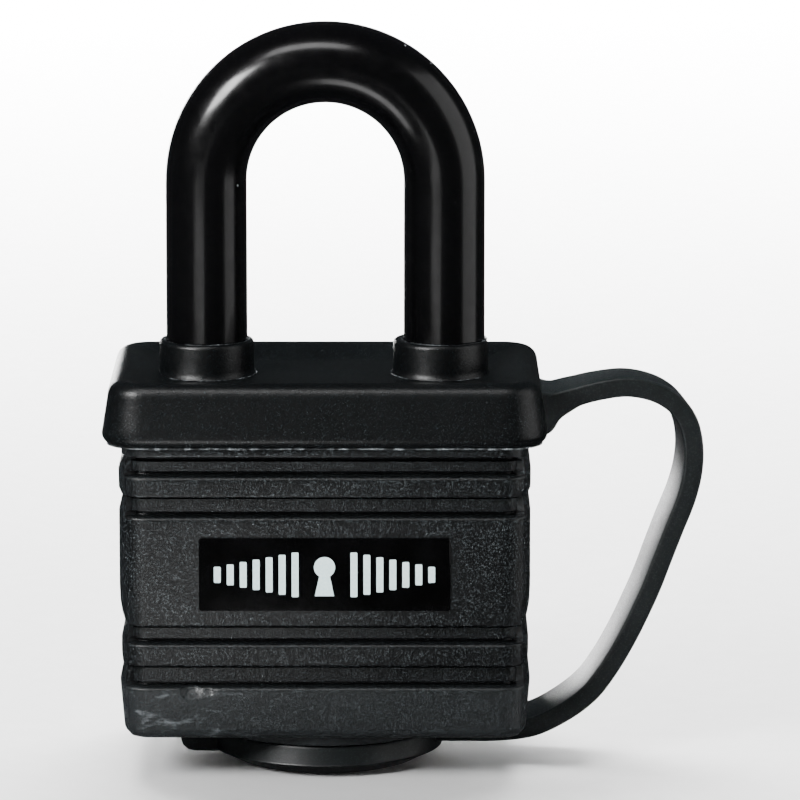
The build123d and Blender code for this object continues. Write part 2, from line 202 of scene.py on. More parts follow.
def scuffed_jacket_plastic():
    """Hard ABS-like jacket: the same grain, painted lighter on its bumper where light from below and the
    front falls, and rubbed pale in short smears.

    The smears gather low on the left of the front.
    """
    smear_size = 1.5
    smears_thin, smears_thick = -5.0, -9.0
    bumper_start, bumper_full = grooves[0][0] + 0.6, grooves[0][0] - 0.8
    # The third colour here is the painted highlight: grey flecks standing in for glints off the grain
    material, tree, shader, where = grained_plastic(
        "moulded_abs_jacket", "#040506", "#0a0c0d", "#484e51", 0.29, 0.17, 0.034
    )
    plain = shader.inputs["Base Color"].links[0].from_socket
    drawn = add(tree, "ShaderNodeMapping", {"Scale": (0.45, 1, 1.3)}, {"Vector": where})
    smears = add(
        tree,
        "ShaderNodeTexNoise",
        {"Scale": 1 / smear_size, "Detail": 6.0, "Roughness": 0.7},
        {"Vector": drawn},
    )
    rubbed = add(
        tree, "ShaderNodeMapRange", {"From Min": 0.56, "From Max": 0.72}, {"Value": smears}
    )
    across = add(tree, "ShaderNodeSeparateXYZ", links={"Vector": where}, out="X")
    height = add(tree, "ShaderNodeSeparateXYZ", links={"Vector": where}, out="Z")
    leftward = add(
        tree,
        "ShaderNodeMapRange",
        {
            "interpolation_type": "SMOOTHSTEP",
            "From Min": smears_thin,
            "From Max": smears_thick,
            "To Min": 0.04,
            "To Max": 0.40,
        },
        {"Value": across},
    )
    bumper = add(
        tree,
        "ShaderNodeMapRange",
        {
            "interpolation_type": "SMOOTHSTEP",
            "From Min": bumper_start,
            "From Max": bumper_full,
        },
        {"Value": height},
    )
    # Painted light: the bumper's colour is lifted towards grey, standing in for light from below and the
    # front
    haze_and_painted_light = add(tree, "ShaderNodeMath", {"operation": "MULTIPLY", 1: 0.22}, {0: bumper})
    painted_bumper_light = add(
        tree,
        "ShaderNodeMix",
        {"data_type": "RGBA", 7: "#3d4143"},
        {"Factor": haze_and_painted_light, 6: plain},
        out=2,
    )
    there = add(tree, "ShaderNodeMath", {"operation": "MULTIPLY"}, {0: leftward, 1: bumper})
    amount = add(tree, "ShaderNodeMath", {"operation": "MULTIPLY"}, {0: rubbed, 1: there})
    worn = add(
        tree,
        "ShaderNodeMix",
        {"data_type": "RGBA", 7: "#8b9297"},
        {"Factor": amount, 6: painted_bumper_light},
        out=2,
    )
    wire(tree, shader, Base_Color=worn)
    return material


def gloss_coating():
    """Dipped vinyl on the shackle: deep black with a wet shine, faint runs and a few dust specks."""
    run_size, haze_size, dust_gap, dust_patch = 8, 1.2, 2.4, 5
    material, tree, shader, where = new_material(
        "dipped_vinyl_gloss_black", IOR=1.5, Coat_Weight=0.15, Coat_Roughness=0.08
    )
    runs = add(
        tree, "ShaderNodeTexNoise", {"Scale": 1 / run_size, "Detail": 1.0}, {"Vector": where}
    )
    haze_and_painted_light = add(
        tree, "ShaderNodeTexNoise", {"Scale": 1 / haze_size, "Detail": 4.0}, {"Vector": where}
    )
    dust = add(
        tree, "ShaderNodeTexVoronoi", {"Scale": 1 / dust_gap}, {"Vector": where}, out="Distance"
    )
    near = add(
        tree, "ShaderNodeMapRange", {"From Min": 0.055, "From Max": 0.03}, {"Value": dust}
    )
    thin = add(
        tree, "ShaderNodeTexNoise", {"Scale": 1 / dust_patch, "Detail": 2.0}, {"Vector": where}
    )
    few = add(tree, "ShaderNodeMapRange", {"From Min": 0.54, "From Max": 0.58}, {"Value": thin})
    specks = add(tree, "ShaderNodeMath", {"operation": "MULTIPLY"}, {0: near, 1: few})
    colour = add(
        tree,
        "ShaderNodeMix",
        {"data_type": "RGBA", 6: "#040405", 7: "#8a8f92"},
        {"Factor": specks},
        out=2,
    )
    rough = add(
        tree,
        "ShaderNodeMapRange",
        {"From Min": 0.35, "From Max": 0.7, "To Min": 0.19, "To Max": 0.26},
        {"Value": haze_and_painted_light},
    )
    wave = add(tree, "ShaderNodeBump", {"Distance": mm(0.04), "Strength": 0.6}, {"Height": runs})
    relief = add(
        tree,
        "ShaderNodeBump",
        {"Distance": mm(0.03), "Strength": 0.8},
        {"Height": specks, "Normal": wave},
    )
    wire(tree, shader, Base_Color=colour, Roughness=rough, Normal=relief)
    return material


def label_film():
    """Glossy vinyl label film: smooth black with slight dimples from the plastic under it."""
    dimple_size, smudge_size = 0.9, 3.5
    material, tree, shader, where = new_material("gloss_black_label_film", IOR=1.45)
    dimples = add(
        tree, "ShaderNodeTexNoise", {"Scale": 1 / dimple_size, "Detail": 2.0}, {"Vector": where}
    )
    smudge = add(
        tree, "ShaderNodeTexNoise", {"Scale": 1 / smudge_size, "Detail": 4.0}, {"Vector": where}
    )
    amount = add(
        tree, "ShaderNodeMapRange", {"From Min": 0.4, "From Max": 0.75}, {"Value": smudge}
    )
    colour = add(
        tree,
        "ShaderNodeMix",
        {"data_type": "RGBA", 6: "#020202", 7: "#070708"},
        {"Factor": amount},
        out=2,
    )
    rough = add(tree, "ShaderNodeMapRange", {"To Min": 0.05, "To Max": 0.12}, {"Value": smudge})
    relief = add(
        tree, "ShaderNodeBump", {"Distance": mm(0.010), "Strength": 0.5}, {"Height": dimples}
    )
    wire(tree, shader, Base_Color=colour, Roughness=rough, Normal=relief)
    return material


def label_ink():
    """Screen-printed ink: pale cool white, a little uneven where the film shows through."""
    pinhole_size = 0.25
    material, tree, shader, where = new_material("screen_printed_pale_ink", IOR=1.5)
    cover = add(
        tree, "ShaderNodeTexNoise", {"Scale": 1 / pinhole_size, "Detail": 3.0}, {"Vector": where}
    )
    amount = add(
        tree, "ShaderNodeMapRange", {"From Min": 0.3, "From Max": 0.7}, {"Value": cover}
    )
    colour = add(
        tree,
        "ShaderNodeMix",
        {"data_type": "RGBA", 6: "#cfeef0", 7: "#e6fbfb"},
        {"Factor": amount},
        out=2,
    )
    rough = add(tree, "ShaderNodeMapRange", {"To Min": 0.35, "To Max": 0.5}, {"Value": cover})
    relief = add(
        tree, "ShaderNodeBump", {"Distance": mm(0.004), "Strength": 0.4}, {"Height": cover}
    )
    wire(tree, shader, Base_Color=colour, Roughness=rough, Normal=relief)
    return material


def mould_flash():
    """Thin torn flash at a mould's parting line: stretched plastic that has gone pale in places."""
    patch_size = 0.8
    material, tree, shader, where = new_material("torn_mould_flash", IOR=1.5)
    patches = add(
        tree,
        "ShaderNodeTexNoise",
        {"Scale": 1 / patch_size, "Detail": 4.0, "Roughness": 0.7},
        {"Vector": where},
    )
    amount = add(
        tree, "ShaderNodeMapRange", {"From Min": 0.47, "From Max": 0.72}, {"Value": patches}
    )
    colour = add(
        tree,
        "ShaderNodeMix",
        {"data_type": "RGBA", 6: "#15171a", 7: "#939b9f"},
        {"Factor": amount},
        out=2,
    )
    rough = add(tree, "ShaderNodeMapRange", {"To Min": 0.4, "To Max": 0.6}, {"Value": patches})
    relief = add(
        tree, "ShaderNodeBump", {"Distance": mm(0.03), "Strength": 0.6}, {"Height": patches}
    )
    wire(tree, shader, Base_Color=colour, Roughness=rough, Normal=relief)
    return material


def worked_metal(name, dark, light, rough, line_width, stretch):
    """Metal worked in one direction: fine lines across its height and a few duller patches.

    Real tool and drawing lines are about 0.03 mm apart, so line_width draws them coarser to show.
    """
    stain_size = 4
    material, tree, shader, where = new_material(name, Metallic=1.0)
    drawn = add(tree, "ShaderNodeMapping", {"Scale": stretch}, {"Vector": where})
    lines = add(
        tree, "ShaderNodeTexNoise", {"Scale": 1 / line_width, "Detail": 4.0}, {"Vector": drawn}
    )
    stains = add(
        tree,
        "ShaderNodeTexNoise",
        {"Scale": 1 / stain_size, "Detail": 4.0, "Roughness": 0.6},
        {"Vector": where},
    )
    amount = add(
        tree, "ShaderNodeMapRange", {"From Min": 0.35, "From Max": 0.7}, {"Value": stains}
    )
    colour = add(
        tree,
        "ShaderNodeMix",
        {"data_type": "RGBA", 6: dark, 7: light},
        {"Factor": amount},
        out=2,
    )
    worked = add(
        tree,
        "ShaderNodeMapRange",
        {"From Min": 0.3, "From Max": 0.7, "To Min": rough - 0.06, "To Max": rough + 0.08},
        {"Value": lines},
    )
    dull = add(
        tree,
        "ShaderNodeMapRange",
        {"From Min": 0.5, "From Max": 0.8, "To Max": 0.12},
        {"Value": stains},
    )
    spread = add(tree, "ShaderNodeMath", {"operation": "ADD"}, {0: worked, 1: dull})
    relief = add(
        tree, "ShaderNodeBump", {"Distance": mm(0.01), "Strength": 0.5}, {"Height": lines}
    )
    wire(tree, shader, Base_Color=colour, Roughness=spread, Normal=relief)
    return material


def backdrop_paper():
    """Matt white paper: even, with the faintest fibre."""
    fibre_size = 3
    material, tree, shader, where = new_material("matt_white_backdrop_paper", Roughness=0.9)
    fibre = add(
        tree, "ShaderNodeTexNoise", {"Scale": 1 / fibre_size, "Detail": 4.0}, {"Vector": where}
    )
    amount = add(
        tree, "ShaderNodeMapRange", {"From Min": 0.3, "From Max": 0.7}, {"Value": fibre}
    )
    colour = add(
        tree,
        "ShaderNodeMix",
        {"data_type": "RGBA", 6: "#f6f6f6", 7: "#fafafa"},
        {"Factor": amount},
        out=2,
    )
    wire(tree, shader, Base_Color=colour)
    return material


jacket_plastic = scuffed_jacket_plastic()
# The third colour is the cap's painted highlight: grey flecks standing in for glints off the grain
cap_plastic = grained_plastic(
    "moulded_cap_vinyl", "#040506", "#07090a", "#1d2326", 0.31, 0.16, 0.022
)[0]
# The third colour is the strap's painted highlight: grey flecks standing in for glints off the grain
strap_plastic = grained_plastic(
    "moulded_strap_vinyl", "#101415", "#181c1d", "#2b3031", 0.36, 0.18, 0.009
)[0]
coating = gloss_coating()
film = label_film()
ink = label_ink()
flash = mould_flash()
hardened = worked_metal(
    "hardened_shackle_steel", "#7c7f83", "#a9acb0", 0.28, 0.12, (1, 1, 0.15)
)
plated = worked_metal(
    "zinc_plated_sheet_steel", "#7f8286", "#a3a6a8", 0.36, 0.20, (0.2, 1, 1)
)
brass = worked_metal("turned_lock_brass", "#a88335", "#d0a95a", 0.26, 0.10, (1, 1, 6))
spring_steel = worked_metal(
    "drawn_spring_wire", "#85888b", "#b4b6b8", 0.24, 0.08, (1, 1, 1)
)

slot_finish = {
    "jacket_plastic": jacket_plastic,
    "cap_plastic": cap_plastic,
    "label_film": film,
    "shackle_coating": coating,
    "hardened_steel": hardened,
    "plate_steel": plated,
    "lock_brass": brass,
    "spring_wire": spring_steel,
}


def finish_cad_nodes():
    """Gives every carried-over node the finish of its slot."""
    slots = {row["node"]: row["material_slot"] for row in frame["record"]["subparts"]}
    for name, node in frame["nodes"].items():
        obj = node if hasattr(node, "material_slots") else bpy.data.objects[name]
        if not obj.material_slots:
            obj.data.materials.append(slot_finish[slots[name]])
        for place in obj.material_slots:
            place.material = slot_finish[slots[name]]


# ---------------------------------------------------------------- mesh tools

def new_piece(name, shape, body, material, stands_for=(), sharp_angle=35):
    """Makes a smooth object with sharp edges kept from a bmesh, and rides it on its body."""
    bmesh.ops.recalc_face_normals(shape, faces=shape.faces)
    mesh = bpy.data.meshes.new(name)
    for face in shape.faces:
        face.smooth = True
    for edge in shape.edges:
        if len(edge.link_faces) == 2 and edge.calc_face_angle(0) > math.radians(sharp_angle):
            edge.smooth = False
    shape.to_mesh(mesh)
    shape.free()
    piece = bpy.data.objects.new(name, mesh)
    bpy.context.scene.collection.objects.link(piece)
    mesh.materials.append(material)
    if body:
        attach(piece, body)
    if stands_for:
        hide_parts(*stands_for)
    return piece


def add_rings(shape, rings, joined=False, ends=True):
    """Skins closed rings of points one after another; joined also skins the last to the first."""
    loops = [[shape.verts.new([mm(c) for c in point]) for point in ring] for ring in rings]
    pairs = list(zip(loops, loops[1:]))
    if joined:
        pairs.append((loops[-1], loops[0]))
    for first, second in pairs:
        for i in range(len(first)):
            j = (i + 1) % len(first)
            shape.faces.new((first[i], first[j], second[j], second[i]))
    if ends and not joined:
        shape.faces.new(loops[0][::-1])
        shape.faces.new(loops[-1])
    return loops


def outline(half_width, half_depth, corner, corner_steps=14, side_step=1.0, counts=None):
    """Points and outward directions round an upright rounded rectangle, counter-clockwise.

    counts fixes how many spaces each long and short side has, so that rings of different size match.
    """
    long_count, short_count = counts or (
        round(2 * (half_width - corner) / side_step),
        round(2 * (half_depth - corner) / side_step),
    )
    inner_x, inner_y = half_width - corner, half_depth - corner
    places = []
    centres = [(inner_x, inner_y), (-inner_x, inner_y), (-inner_x, -inner_y), (inner_x, -inner_y)]
    for number, (cx, cy) in enumerate(centres):
        start = number * math.pi / 2
        for i in range(corner_steps + 1):
            angle = start + i / corner_steps * math.pi / 2
            direction = (math.cos(angle), math.sin(angle))
            places.append(((cx + corner * direction[0], cy + corner * direction[1]), direction))
        next_centre = centres[(number + 1) % 4]
        end = start + math.pi / 2
        direction = (math.cos(end), math.sin(end))
        spaces = long_count if number % 2 == 0 else short_count
        for i in range(1, spaces):
            along = i / spaces
            x = cx + (next_centre[0] - cx) * along + corner * direction[0]
            y = cy + (next_centre[1] - cy) * along + corner * direction[1]
            places.append(((x, y), direction))
    return places


def level(places, height, inset=0.0):
    """A flat ring from an outline, drawn in by inset."""
    return [(x - dx * inset, y - dy * inset, height) for (x, y), (dx, dy) in places]


def circle_level(places, radius, height):
    """A round ring whose points lie in the same directions as an outline's."""
    ring = []
    for (x, y), _ in places:
        reach = math.hypot(x, y)
        ring.append((x / reach * radius, y / reach * radius, height))
    return ring


def add_lathe(shape, profile, x=0.0, y=0.0, steps=72, joined=False):
    """Turns a profile of (radius, height) points round an upright axis."""
    rings = []
    for radius, height in profile:
        ring = []
        for i in range(steps):
            angle = 2 * math.pi * i / steps
            ring.append((x + radius * math.cos(angle), y + radius * math.sin(angle), height))
        rings.append(ring)
    add_rings(shape, rings, joined=joined)


def smooth_step(value, low, high):
    """0 below low, 1 above high, and an even curve between."""
    t = min(1.0, max(0.0, (value - low) / (high - low)))
    return t * t * (3 - 2 * t)


def along_line(points, value):
    """Height of a broken line of (place, height) points at a place."""
    if value <= points[0][0]:
        return points[0][1]
    for (a, fa), (b, fb) in zip(points, points[1:]):
        if value <= b:
            return fa + (fb - fa) * (value - a) / (b - a)
    return points[-1][1]


# ---------------------------------------------------------------- body jacket

jacket_reach = jacket_high[0]
jacket_depth = jacket_high[1]
jacket_corner = 3.0
groove_depth = 0.9
slit_depth = 1.5
slit_height = 0.34
band_round = 0.38
band_undercut = 0.20
lip_undercut = 0.45
bumper_top = grooves[0][0]
groove_end = jacket_reach - 0.85
foot_round = 1.0
plain_ring_gap = 0.35
jacket_top_edge = cap_foot
neck_inset = 1.5
neck_top = jacket_high[2]
lining_gap = 0.05
keyhole_radius = 7.5
boss_radius = 12.0
nick_deep = 0.75
nick_shallow = 0.4
nick_tall = 0.9

# How far the side faces lie inside the widest point, by height: each pad leans out as it goes
# down and steps in sharply under the band above it
side_draw = [
    (4.4, 0.55), (5.0, 0.45), (9.65, 0.05), (10.4, 0.02), (11.0, 0.12), (11.79, 0.45), (11.81, 0.30),
    (12.8, 0.20), (14.4, 0.20), (15.84, 0.62), (15.86, 0.60), (16.8, 0.30), (18.0, 0.10), (19.5, 0.03),
    (27.2, 0.03), (28.84, 0.40), (28.86, 0.28), (29.5, 0.02), (31.6, 0.0), (32.84, 0.52),
    (32.86, 0.30), (33.75, 0.32),
]


def groove_profile(low, high, undercut):
    """Heights and depths up one groove: rounded band edge, slit, recess and undercut."""
    points = []
    for i in range(6):
        angle = i / 5 * math.pi / 2
        points.append((
            low - band_round + band_round * math.sin(angle),
            band_round * (1 - math.cos(angle)),
        ))
    points += [
        (low + 0.02, slit_depth - 0.05),
        (low + 0.08, slit_depth),
        (low + slit_height, slit_depth),
        (low + slit_height + 0.04, groove_depth + 0.12),
        (low + slit_height + 0.12, groove_depth),
        (high - undercut - 0.10, groove_depth),
        (high - undercut - 0.02, groove_depth + 0.10),
        (high - undercut + 0.02, slit_depth),
        (high - 0.05, slit_depth),
        (high - 0.01, slit_depth - 0.10),
        (high, 0.16),
        (high + 0.04, 0.05),
        (high + 0.12, 0.0),
    ]
    return points


def jacket_profile():
    """Heights and groove depths from the foot to the top lip."""
    points = []
    height = jacket_foot + foot_round
    for low, high in grooves:
        undercut = lip_undercut if high > grooves[-1][0] else band_undercut
        span = groove_profile(low, high, undercut)
        plain = max(1, round((span[0][0] - height) / plain_ring_gap))
        for i in range(plain):
            points.append((height + (span[0][0] - height) * i / plain, 0.0))
        points += span
        height = points.pop()[0]
        points.append((height, 0.0))
        height += 0.15
    points += [(height, 0.0), (jacket_top_edge - 0.2, 0.0), (jacket_top_edge, 0.05)]
    return points


def nick(x, y, height):
    """Depth of the chip knocked out of the bumper's top edge at the front left."""
    if y > 0:
        return 0.0
    deep = smooth_step(x, -14.2, -13.8) * (1 - smooth_step(x, -12.7, -12.2))
    shallow = smooth_step(x, -12.7, -12.2) * (1 - smooth_step(x, -11.3, -10.7))
    low_edge = bumper_top - nick_tall
    down = smooth_step(height, low_edge, low_edge + 0.35)
    down *= 1 - smooth_step(height, bumper_top, bumper_top + 0.1)
    return (nick_deep * deep + nick_shallow * shallow) * down


def jacket_ring(places, height, groove):
    """One ring of the jacket: grooves front and back and round the corners, drawn-in sides."""
    ring = []
    draw = along_line(side_draw, height) + 0.1
    for (x, y), (dx, dy) in places:
        in_groove_run = abs(x) < groove_end and abs(y) > 9
        depth = max(groove, 0.5 * draw * abs(dx)) if in_groove_run else draw * abs(dx)
        depth += nick(x, y, height)
        ring.append((x - dx * depth, y - dy * depth, height))
    return ring


def make_jacket():
    """The jacket as one closed skin: outside, neck, inside and the keyhole through its foot."""
    shape = bmesh.new()
    counts = (110, 24)
    outer = outline(jacket_reach, jacket_depth, jacket_corner, 16, counts=counts)
    inner = outline(
        stack_high[0] + lining_gap, stack_high[1] + lining_gap, 2.0, 16, counts=counts
    )
    inner_floor = stack_low[2] - lining_gap
    boss_profile = [
        (keyhole_radius, inner_floor),
        (keyhole_radius, boss_floor + 0.2),
        (keyhole_radius + 0.2, boss_floor),
        (boss_radius - 0.3, boss_floor),
        (boss_radius - 0.05, boss_floor + 0.1),
        (boss_radius, boss_floor + 0.3),
        (boss_radius, jacket_foot),
    ]
    rings = [circle_level(outer, radius, height) for radius, height in boss_profile]
    for i in range(7):
        angle = i / 6 * math.pi / 2
        inset = foot_round * (1 - math.sin(angle))
        height = jacket_foot + foot_round * (1 - math.cos(angle))
        ring = jacket_ring(outer, height, 0.0)
        rings.append([
            (x - dx * inset, y - dy * inset, z) for (x, y, z), (_, (dx, dy)) in zip(ring, outer)
        ])
    for height, groove in jacket_profile():
        rings.append(jacket_ring(outer, height, groove))
    rings.append(level(outer, jacket_top_edge + 0.02, neck_inset))
    rings.append(level(outer, neck_top - 0.2, neck_inset))
    rings.append(level(outer, neck_top, neck_inset + 0.2))
    rings.append(level(inner, neck_top))
    rings.append(level(inner, inner_floor))
    add_rings(shape, rings, joined=True)
    return new_piece(
        "jacket_shell", shape, "body", jacket_plastic, ["body_jacket"], 40
    )


# ---------------------------------------------------------------- top cap and collars

cap_reach = cap_high[0]
cap_depth = cap_high[1]
cap_corner = 4.2
cap_rim = 40.15
cap_lean = 0.85
cap_foot_round = 1.1
cap_rim_round = 1.5
dish_depth = 1.1
dish_slope = 5.0
leg_bore = coated_radius + 0.07
collar_radius = 4.75
collar_shift = {-1: -0.05, 1: -0.38}  # each collar's outside stands a little off its leg's centre


def cap_rings():
    """Rings from the pocket round the skirt's foot, up the wall, over the rim, into the dish."""
    counts = (44, 26)
    outer = outline(cap_reach, cap_depth, cap_corner, 16, counts=counts)
    pocket = outline(
        jacket_reach - neck_inset + 0.05, jacket_depth - neck_inset + 0.05, 2.0, 16, counts=counts
    )
    rings = [level(pocket, stack_top + 0.1), level(pocket, cap_foot + 0.1)]
    rings.append(level(pocket, cap_foot, -0.15))
    rings.append(level(outer, cap_foot, cap_foot_round + 0.15))
    for i in range(7):
        angle = i / 6 * math.pi / 2
        inset = cap_foot_round * (1 - math.sin(angle))
        rings.append(level(outer, cap_foot + cap_foot_round * (1 - math.cos(angle)), inset))
    wall_top = cap_rim - cap_rim_round
    wall_foot = cap_foot + cap_foot_round
    for i in range(1, 6):
        height = wall_foot + (wall_top - wall_foot) * i / 5
        rings.append(level(outer, height, cap_lean * (height - wall_foot) / (cap_rim - wall_foot)))
    lean_here = cap_lean * (wall_top - wall_foot) / (cap_rim - wall_foot)
    for i in range(1, 8):
        angle = i / 7 * math.pi / 2
        inset = lean_here + cap_rim_round * (1 - math.cos(angle))
        rings.append(level(outer, wall_top + cap_rim_round * math.sin(angle), inset))
    rim_inset = lean_here + cap_rim_round
    for i in range(1, 13):
        run = dish_slope * i / 12
        height = cap_rim - dish_depth * smooth_step(run, -0.4, dish_slope)
        rings.append(dish_ring(outer, rim_inset + run, height))
    return rings


def dish_ring(places, inset, height):
    """A ring in the dish: past the corner's radius the corner keeps a small round."""
    kept = min(inset, cap_corner - 0.4)
    extra = inset - kept
    ring = []
    for (x, y), (dx, dy) in places:
        px, py = x - dx * kept, y - dy * kept
        scale_x = 1 - extra / (cap_reach - kept)
        scale_y = 1 - extra / (cap_depth - kept)
        ring.append((px * scale_x, py * scale_y, height))
    return ring


def scratch_object(name, shape):
    """An object made from a shape, to be cut or to cut with."""
    mesh = bpy.data.meshes.new(name)
    bmesh.ops.recalc_face_normals(shape, faces=shape.faces)
    shape.to_mesh(mesh)
    shape.free()
    made = bpy.data.objects.new(name, mesh)
    bpy.context.scene.collection.objects.link(made)
    return made


def bore_cutter(name, x):
    """A round bar that stands where a leg passes."""
    shape = bmesh.new()
    add_lathe(shape, [(leg_bore, stack_top - 2), (leg_bore, collar_top + 3)], x)
    return scratch_object(name, shape)


def bored(shape):
    """The shape with both leg bores cut through it."""
    blank = scratch_object("cap_blank", shape)
    cutters = [bore_cutter(f"bore_{side}", side * leg_x) for side in (-1, 1)]
    for cutter in cutters:
        cut = blank.modifiers.new("bore", "BOOLEAN")
        cut.operation = "DIFFERENCE"
        cut.solver = "EXACT"
        cut.object = cutter
    depsgraph = bpy.context.evaluated_depsgraph_get()
    result = bpy.data.meshes.new_from_object(blank.evaluated_get(depsgraph))
    cut_shape = bmesh.new()
    cut_shape.from_mesh(result)
    for obj in [blank] + cutters:
        bpy.data.objects.remove(obj)
    bpy.data.meshes.remove(result)
    return cut_shape


def collar_rings(side):
    """Rings of one collar, whose outside stands a little off the leg's centre."""
    dish_floor = cap_rim - dish_depth
    foot = dish_floor - 0.25
    shift = collar_shift[side]
    profile = [
        (leg_bore, foot, 0), (collar_radius + 0.35, foot, 1),
        (collar_radius + 0.18, dish_floor + 0.08, 1),
        (collar_radius + 0.04, dish_floor + 0.3, 1), (collar_radius, dish_floor + 0.7, 1),
        (collar_radius - 0.02, collar_top - 0.45, 1), (collar_radius - 0.08, collar_top - 0.18, 1),
        (collar_radius - 0.25, collar_top - 0.04, 1), (collar_radius - 0.4, collar_top, 0.6),
        (leg_bore + 0.06, collar_top - 0.02, 0), (leg_bore, collar_top - 0.1, 0),
    ]
    rings = []
    for radius, height, off in profile:
        ring = []
        for i in range(96):
            angle = 2 * math.pi * i / 96
            x = side * leg_x + shift * off + radius * math.cos(angle)
            ring.append((x, radius * math.sin(angle), height))
        rings.append(ring)
    return rings


def make_cap():
    """Cap with its dished top and both collars."""
    shape = bmesh.new()
    add_rings(shape, cap_rings())
    shape = bored(shape)
    for side in (-1, 1):
        add_rings(shape, collar_rings(side), joined=True)
    return new_piece("cap_moulding", shape, "body", cap_plastic, ["top_cap"], 40)


def uneven_run(seed, count):
    """Seeded random heights round a closed edge, each the mean of five neighbours."""
    chance = random.Random(seed)
    swell = [chance.random() for _ in range(count)]
    return [sum(swell[(i + k) % count] for k in range(-2, 3)) / 5 for i in range(count)]


def add_ragged_ring(shape, centre_x, radius, height, thick, tall, seed, gaps=0.35, shift=0.0):
    """A thin torn fin round a circle, taller in places and missing in others."""
    steps = 160
    smooth = uneven_run(seed, steps)
    rings = [[], [], [], []]
    for i in range(steps):
        angle = 2 * math.pi * i / steps
        rise = max(0.0, (smooth[i] - gaps) / (1 - gaps))
        spots = [(radius - thick, height), (radius + thick, height),
                 (radius + thick * (0.6 + rise), height + tall * rise + 0.01),
                 (radius - thick * 0.4, height + tall * rise + 0.01)]
        for ring, (r, z) in zip(rings, spots):
            ring.append((centre_x + shift + r * math.cos(angle), r * math.sin(angle), z))
    add_rings(shape, rings, joined=True)


def make_collar_flash():
    """Torn flash round each collar's rim and foot."""
    shape = bmesh.new()
    for side in (-1, 1):
        centre = side * leg_x
        shift = collar_shift[side]
        add_ragged_ring(shape, centre, leg_bore + 0.14, collar_top - 0.03, 0.06, 0.16, 11 + side)
        foot = cap_rim - dish_depth
        add_ragged_ring(
            shape, centre, collar_radius + 0.22, foot + 0.03, 0.07, 0.14, 21 + side, 0.42, shift
        )
    return new_piece("collar_flash", shape, "body", flash)


def make_skirt_flash():
    """Torn parting line along the skirt's foot."""
    shape = bmesh.new()
    counts = (120, 60)
    places = outline(cap_reach - 0.55, cap_depth - 0.55, cap_corner - 0.5, 16, counts=counts)
    flash_drop, flash_floor, flash_gain = 0.12, 0.50, 2.2
    rises = [max(0.0, swell - flash_floor) * flash_gain for swell in uneven_run(5, len(places))]
    rings = [[], [], [], []]
    for ((x, y), (dx, dy)), rise in zip(places, rises):
        tip = -flash_drop * rise
        section = ((-0.15, 0.1), (0.05, 0.12), (0.07, tip), (-0.05, tip))
        for ring, (out, down) in zip(rings, section):
            ring.append((x + dx * out, y + dy * out, cap_foot + down))
    add_rings(shape, rings, joined=True)
    return new_piece("skirt_flash", shape, "body", flash)


# ---------------------------------------------------------------- strap and keyway cover

strap_width = 7.4
strap_half_thick = 0.98
strap_round = 0.28
strap_twist = 6.0
root_run = 4.6
root_flare = 0.9
strap_route = [
    (20.6, 35.75), (21.6, 35.8), (22.8, 36.25), (25.1, 37.2), (27.6, 37.8), (30.2, 38.05), (32.8, 37.5),
    (34.75, 36.3), (36.0, 34.5), (36.5, 32.15), (36.4, 29.6), (35.75, 26.9), (34.65, 24.05), (33.5, 21.0),
    (32.4, 18.0), (31.1, 15.0), (29.7, 12.1), (28.1, 9.3), (26.3, 6.9), (23.8, 4.95), (20.8, 3.45),
    (17.5, 2.95), (14.5, 2.9), (11.0, 2.9),
]


def catmull(points, steps):
    """Places along a smooth curve through points, with steps places to each span."""
    out = []
    last = len(points) - 1
    for i in range(last):
        a, b = Vector(points[max(0, i - 1)]), Vector(points[i])
        c, d = Vector(points[i + 1]), Vector(points[min(last, i + 2)])
        for k in range(steps):
            t = k / steps
            spot = 0.5 * ((2 * b) + (c - a) * t + (2 * a - 5 * b + 4 * c - d) * t * t
                          + (3 * b - a - 3 * c + d) * t ** 3)
            out.append(spot)
    out.append(Vector(points[-1]))
    return out


def strap_section(half_width, half_thick, round_by):
    """Closed section of the strap: across its width and through its thickness."""
    points = []
    inner_width, inner_thick = half_width - round_by, half_thick - round_by
    corners = [
        (inner_width, inner_thick, 0), (-inner_width, inner_thick, 90),
        (-inner_width, -inner_thick, 180), (inner_width, -inner_thick, 270),
    ]
    for cx, cy, start in corners:
        for i in range(5):
            angle = math.radians(start + 90 * i / 4)
            points.append((cx + round_by * math.cos(angle), cy + round_by * math.sin(angle)))
    return points


def make_strap():
    """The strap, swept along its route with a slight twist that shows its inner face."""
    line = catmull(strap_route, 6)
    shape = bmesh.new()
    rings = []
    total = len(line) - 1
    for i, spot in enumerate(line):
        ahead = line[min(total, i + 1)] - line[max(0, i - 1)]
        ahead.normalize()
        normal = Vector((-ahead.y, ahead.x))
        along = i / total
        near_root = along < 0.3
        root = max(0.0, 1 - (spot.x - strap_route[0][0]) / root_run) if near_root else 0.0
        thick = (
            strap_half_thick + 0.34 * min(1.0, 2.2 * root) + 1.15 * smooth_step(root, 0.42, 0.85)
        )
        wide = strap_width / 2 + root_flare * root ** 2
        turned_by = min(1.0, max(0.0, (along - 0.12) / 0.80))
        twist = math.radians(strap_twist) * math.sin(math.pi * turned_by)
        ring = []
        for across, up in strap_section(wide, thick, strap_round):
            turned_up = up * math.cos(twist) + across * math.sin(twist)
            turned_across = across * math.cos(twist) - up * math.sin(twist)
            ring.append((
                spot.x + normal.x * turned_up, -turned_across, spot.y + normal.y * turned_up
            ))
        rings.append(ring)
    add_rings(shape, rings)
    piece = new_piece(
        "strap_moulding", shape, None, strap_plastic, ["retaining_strap"], 50
    )
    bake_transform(piece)
    return piece


cover_radius = 11.7
cover_chamfer = 1.25
cover_flat = 9.2
cover_top = 3.35
plug_radius = 6.9
tab_reach = -cover_low[0]
tab_half_width = 4.0
tab_round = 0.3


